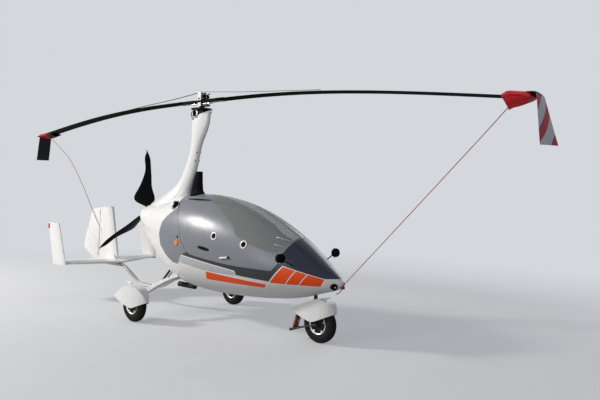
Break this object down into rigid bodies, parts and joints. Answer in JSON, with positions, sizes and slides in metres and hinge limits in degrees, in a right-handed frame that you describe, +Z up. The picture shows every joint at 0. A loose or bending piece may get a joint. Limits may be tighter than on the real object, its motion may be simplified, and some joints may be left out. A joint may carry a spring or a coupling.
{
  "type": "gyrocopter",
  "caption": "Enclosed tandem gyrocopter on spatted tricycle gear, with a two-blade rotor, pusher propeller and finned tail; its door, wheels, steering, rudder and rotors move.",
  "frame": {"origin": "on the ground below the rotor centre, at the middle of the bounding box's base", "axes": "+X to the nose, +Y to port, +Z up; rotor parked fore and aft"},
  "size_m": [8.214, 1.73, 2.778],
  "materials": {
    "white_composite": "gloss",
    "tail_white": "satin",
    "graphite_composite": "gloss",
    "tinted_acrylic": "gloss",
    "black_composite": "satin",
    "grey_laminate": "matte",
    "upholstery": "matte",
    "engine_alloy": "satin",
    "steel_tube": "satin",
    "black_steel": "satin",
    "blade_alloy": "satin",
    "wheel_alloy": "satin",
    "tyre_rubber": "matte",
    "bag_fabric": "matte",
    "lamp_glass": "gloss"
  },
  "bodies": {
    "airframe": {"aft_cowl": "white_composite", "hull": "white_composite", "nose_deck": "graphite_composite", "engine_panel_left": "graphite_composite", "engine_panel_right": "graphite_composite", "mast_fairing": "white_composite", "cabin_tub": "grey_laminate", "engine_block": "engine_alloy", "exhaust": "black_steel", "keel_tube": "steel_tube", "keel_struts": "black_steel", "seat_shells": "grey_laminate", "seat_cushions": "upholstery", "back_cushions": "upholstery", "instrument_panel": "black_composite", "control_sticks": "black_steel", "nose_lights": "lamp_glass", "mirrors": "black_composite", "gear_bow": "grey_laminate", "spat_left": "white_composite", "spat_right": "white_composite", "tailplane": "tail_white", "centre_fin": "tail_white", "fin_left": "tail_white", "fin_right": "tail_white", "rotor_head": "steel_tube"},
    "canopy": {"canopy_frame": "graphite_composite", "canopy_glass": "tinted_acrylic", "mast_boot": "graphite_composite"},
    "nose_gear": {"nose_fork": "steel_tube", "nose_spring": "black_steel", "spat_nose": "white_composite"},
    "nose_wheel": {"tyre_nose": "tyre_rubber", "rim_nose": "wheel_alloy"},
    "main_wheel_left": {"tyre_left": "tyre_rubber", "rim_left": "wheel_alloy"},
    "main_wheel_right": {"tyre_right": "tyre_rubber", "rim_right": "wheel_alloy"},
    "rudder": {"rudder": "tail_white"},
    "propeller": {"propeller": "black_composite"},
    "rotor": {"rotor_hub": "steel_tube", "blade_front": "blade_alloy", "blade_rear": "blade_alloy", "tip_bag_front": "bag_fabric", "tip_bag_rear": "bag_fabric"}
  },
  "joints": [
    {"name": "canopy_hinge", "type": "hinge", "parent": "airframe", "child": "canopy", "pos_m": [0.7, 0.453, 0.78], "axis": [-1, 0, 0], "range_deg": [0, 80]},
    {"name": "steering", "type": "hinge", "parent": "airframe", "child": "nose_gear", "pos_m": [1.9, 0, 0.5], "axis": [0, 0, 1], "range_deg": [-25, 25]},
    {"name": "nose_wheel_spin", "type": "hinge", "parent": "nose_gear", "child": "nose_wheel", "pos_m": [1.965, 0, 0.2], "axis": [0, 1, 0], "continuous": true},
    {"name": "left_wheel_spin", "type": "hinge", "parent": "airframe", "child": "main_wheel_left", "pos_m": [-0.204, 0.79, 0.2], "axis": [0, 1, 0], "continuous": true},
    {"name": "right_wheel_spin", "type": "hinge", "parent": "airframe", "child": "main_wheel_right", "pos_m": [-0.204, -0.79, 0.2], "axis": [0, 1, 0], "continuous": true},
    {"name": "rudder_hinge", "type": "hinge", "parent": "airframe", "child": "rudder", "pos_m": [-2.29, 0, 0.478], "axis": [0.0607, 0, 0.9982], "range_deg": [-25, 25]},
    {"name": "propeller_spin", "type": "hinge", "parent": "airframe", "child": "propeller", "pos_m": [-1.1, 0, 1.237], "axis": [1, 0, 0], "continuous": true},
    {"name": "rotor_spin", "type": "hinge", "parent": "airframe", "child": "rotor", "pos_m": [0, 0, 2.6], "axis": [0, 0, 1], "continuous": true}
  ],
  "couplings": [
    {"joint": "rudder_hinge", "follows": "steering", "ratio": -1}
  ]
}
